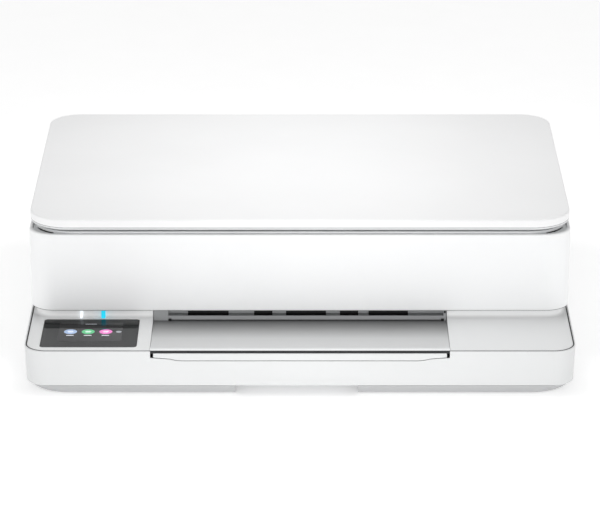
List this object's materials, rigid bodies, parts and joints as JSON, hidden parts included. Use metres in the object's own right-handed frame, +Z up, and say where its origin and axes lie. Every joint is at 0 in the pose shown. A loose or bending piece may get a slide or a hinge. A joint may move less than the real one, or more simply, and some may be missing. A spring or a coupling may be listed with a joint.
{
  "type": "inkjet printer",
  "caption": "Low, wide inkjet printer with a scanner: hinged scanner unit and lid, touch display, output bay and a pull-out paper tray with full-width front.",
  "frame": {"origin": "on the ground at the middle of the printer's footprint", "axes": "+Z up, the front faces -Y, +X to the right as seen from the front"},
  "size_m": [0.433, 0.361, 0.1197],
  "materials": {
    "white_casing": "fine satin",
    "lid_white": "satin",
    "light_grey_plastic": "fine satin",
    "grey_skirt": "matt",
    "black_plastic": "matt",
    "white_gear": "satin",
    "cartridge_grey": "matt",
    "steel": "brushed",
    "rubber": "matt",
    "display_glass": "polished",
    "display_panel": "polished",
    "circuit_board": "satin",
    "light_white": "clear",
    "light_blue": "clear",
    "supply_case": "matt",
    "encoder_film": "clear",
    "platen_glass": "polished",
    "foam": "soft foam"
  },
  "bodies": {
    "root": {"base_shell": "white_casing", "top_deck": "white_casing", "exit_guide": "light_grey_plastic", "output_plate": "light_grey_plastic", "skirt": "grey_skirt", "rubber_feet": "rubber", "base_chassis": "black_plastic", "display_glass": "display_glass", "display_panel": "display_panel", "control_board": "circuit_board", "status_light_white": "light_white", "status_light_blue": "light_blue", "mechanism_frame": "steel", "carriage_rail": "steel", "encoder_strip": "encoder_film", "service_station": "black_plastic", "main_board": "circuit_board", "power_supply": "supply_case", "power_inlet": "black_plastic", "usb_socket": "steel", "carriage_motor": "steel", "feed_motor": "steel", "casing_screws": "steel", "unit_hinge_pins": "steel", "carriage_belt": "rubber"},
    "tray": {"tray_fascia": "white_casing", "paper_tray": "grey_skirt"},
    "extender": {"tray_extender": "white_casing"},
    "guide_left": {"width_guide_left": "light_grey_plastic"},
    "guide_right": {"width_guide_right": "light_grey_plastic"},
    "guide_gear": {"guide_pinion": "white_gear"},
    "scanner_unit": {"upper_shell": "white_casing", "scanner_bed": "light_grey_plastic", "platen_glass": "platen_glass", "scan_rail": "steel"},
    "scan_head": {"scan_bar": "black_plastic"},
    "lid": {"lid_cover": "lid_white", "lid_liner": "light_grey_plastic", "lid_backing": "foam", "lid_hinge_pins": "steel"},
    "carriage": {"carriage": "black_plastic", "cartridge_black": "black_plastic", "cartridge_colour": "cartridge_grey"},
    "flap_black": {"latch_black": "black_plastic"},
    "flap_colour": {"latch_colour": "black_plastic"},
    "drive_pulley": {"motor_pulley": "white_gear"},
    "return_pulley": {"idler_pulley": "white_gear"},
    "feed": {"feed_shaft": "steel", "feed_tyres": "rubber", "feed_gear": "white_gear"},
    "output": {"output_shaft": "white_gear", "output_tyres": "rubber"},
    "pick": {"pick_shaft": "white_gear", "pick_roller": "rubber"},
    "idler_front": {"transfer_gear_front": "white_gear"},
    "idler_rear": {"transfer_gear_rear": "white_gear"},
    "pinion": {"feed_pinion": "white_gear"},
    "pinch": {"pinch_rollers": "white_gear"},
    "power_key": {"power_button": "black_plastic"},
    "wireless_key": {"wireless_button": "black_plastic"}
  },
  "joints": [
    {"name": "tray_slide", "type": "slide", "parent": "root", "child": "tray", "axis": [0, -1, 0], "range_m": [0, 0.19]},
    {"name": "extender_slide", "type": "slide", "parent": "root", "child": "extender", "axis": [0, -1, 0], "range_m": [0, 0.1]},
    {"name": "guide_left_slide", "type": "slide", "parent": "tray", "child": "guide_left", "axis": [1, 0, 0], "range_m": [0, 0.055]},
    {"name": "guide_right_slide", "type": "slide", "parent": "tray", "child": "guide_right", "axis": [-1, 0, 0], "range_m": [0, 0.055]},
    {"name": "guide_pinion_spin", "type": "hinge", "parent": "tray", "child": "guide_gear", "pos_m": [0, -0.03, 0.0114], "axis": [0, 0, 1], "range_deg": [0, 394]},
    {"name": "unit_hinge", "type": "hinge", "parent": "root", "child": "scanner_unit", "pos_m": [0, 0.17, 0.05], "axis": [-1, 0, 0], "range_deg": [0, 40]},
    {"name": "lid_hinge", "type": "hinge", "parent": "scanner_unit", "child": "lid", "pos_m": [0, 0.1773, 0.113], "axis": [-1, 0, 0], "range_deg": [0, 90]},
    {"name": "scan_slide", "type": "slide", "parent": "scanner_unit", "child": "scan_head", "axis": [1, 0, 0], "range_m": [0, 0.29]},
    {"name": "carriage_slide", "type": "slide", "parent": "root", "child": "carriage", "axis": [-1, 0, 0], "range_m": [0, 0.26]},
    {"name": "latch_black_hinge", "type": "hinge", "parent": "carriage", "child": "flap_black", "pos_m": [0.132, -0.0168, 0.0465], "axis": [1, 0, 0], "range_deg": [0, 60]},
    {"name": "latch_colour_hinge", "type": "hinge", "parent": "carriage", "child": "flap_colour", "pos_m": [0.168, -0.0168, 0.0465], "axis": [1, 0, 0], "range_deg": [0, 60]},
    {"name": "drive_pulley_spin", "type": "hinge", "parent": "root", "child": "drive_pulley", "pos_m": [-0.15, 0.0555, 0.07], "axis": [0, 1, 0], "range_deg": [0, 2980]},
    {"name": "return_pulley_spin", "type": "hinge", "parent": "root", "child": "return_pulley", "pos_m": [0.184, 0.0555, 0.07], "axis": [0, 1, 0], "range_deg": [0, 2980]},
    {"name": "feed_spin", "type": "hinge", "parent": "root", "child": "feed", "pos_m": [0, 0.04, 0.0335], "axis": [1, 0, 0], "continuous": true},
    {"name": "output_spin", "type": "hinge", "parent": "root", "child": "output", "pos_m": [0, -0.03, 0.0335], "axis": [1, 0, 0], "continuous": true},
    {"name": "pick_spin", "type": "hinge", "parent": "root", "child": "pick", "pos_m": [0, 0.11, 0.0335], "axis": [1, 0, 0], "continuous": true},
    {"name": "idler_front_spin", "type": "hinge", "parent": "root", "child": "idler_front", "pos_m": [-0.171, 0.002, 0.0335], "axis": [1, 0, 0], "continuous": true},
    {"name": "idler_rear_spin", "type": "hinge", "parent": "root", "child": "idler_rear", "pos_m": [-0.171, 0.078, 0.0335], "axis": [1, 0, 0], "continuous": true},
    {"name": "pinion_spin", "type": "hinge", "parent": "root", "child": "pinion", "pos_m": [-0.171, 0.04, 0.0595], "axis": [1, 0, 0], "continuous": true},
    {"name": "pinch_spin", "type": "hinge", "parent": "root", "child": "pinch", "pos_m": [0, 0.04, 0.042], "axis": [1, 0, 0], "continuous": true},
    {"name": "power_press", "type": "slide", "parent": "root", "child": "power_key", "axis": [0, -1, 0], "range_m": [0, 0.0015], "stiffness_N_per_m": 800, "springref_m": -0.0005},
    {"name": "wireless_press", "type": "slide", "parent": "root", "child": "wireless_key", "axis": [0, -1, 0], "range_m": [0, 0.0015], "stiffness_N_per_m": 800, "springref_m": -0.0005}
  ],
  "couplings": [
    {"joint": "guide_right_slide", "follows": "guide_left_slide", "ratio": 1},
    {"joint": "guide_pinion_spin", "follows": "guide_left_slide", "rad_per_m": 125},
    {"joint": "drive_pulley_spin", "follows": "carriage_slide", "rad_per_m": 200},
    {"joint": "return_pulley_spin", "follows": "carriage_slide", "rad_per_m": 200},
    {"joint": "output_spin", "follows": "feed_spin", "ratio": 1.4286},
    {"joint": "pick_spin", "follows": "feed_spin", "ratio": 1.4286},
    {"joint": "idler_front_spin", "follows": "feed_spin", "ratio": -1.1111},
    {"joint": "idler_rear_spin", "follows": "feed_spin", "ratio": -1.1111},
    {"joint": "pinion_spin", "follows": "feed_spin", "ratio": -3.3333},
    {"joint": "pinch_spin", "follows": "feed_spin", "ratio": -1.7667}
  ]
}
